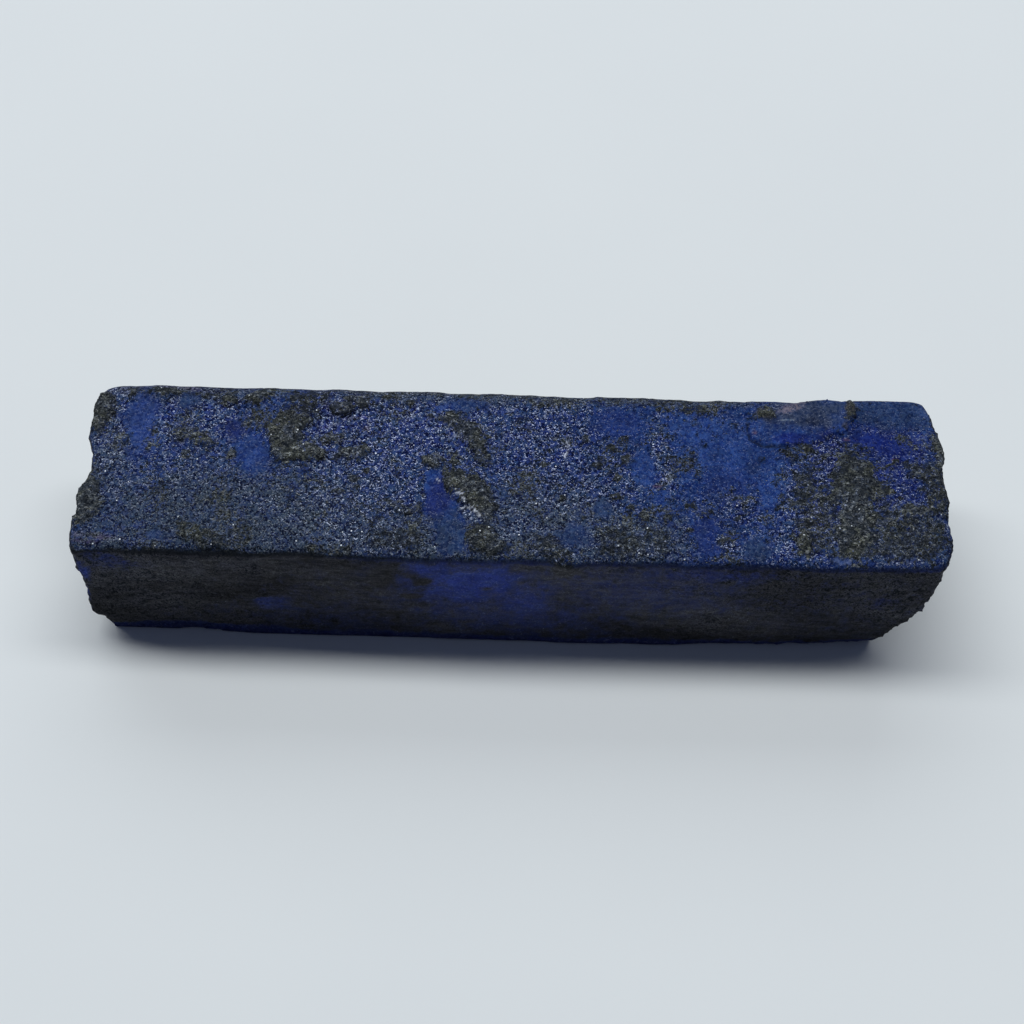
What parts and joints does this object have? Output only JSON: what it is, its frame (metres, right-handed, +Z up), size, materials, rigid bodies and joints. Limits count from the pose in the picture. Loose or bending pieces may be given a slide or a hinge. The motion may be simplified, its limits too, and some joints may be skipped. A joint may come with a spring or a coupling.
{
  "type": "rough sapphire",
  "caption": "Rough sapphire crystal: an uncut bar of dark blue corundum with a frosted, partly crusted skin, broken across both ends, lying on a flat side.",
  "frame": {"origin": "middle of the bar, on the plane it rests on", "axes": "+X along the bar, towards the obliquely broken end; +Y towards the side with the flake; +Z up from the flat side it rests on"},
  "size_m": [0.0773, 0.0188, 0.0158],
  "materials": {
    "sapphire": "frosted dark blue crystal skin, part of it under a thin, gritty, olive-grey crust"
  },
  "bodies": {
    "root": {"rough_sapphire": "sapphire"}
  },
  "joints": []
}
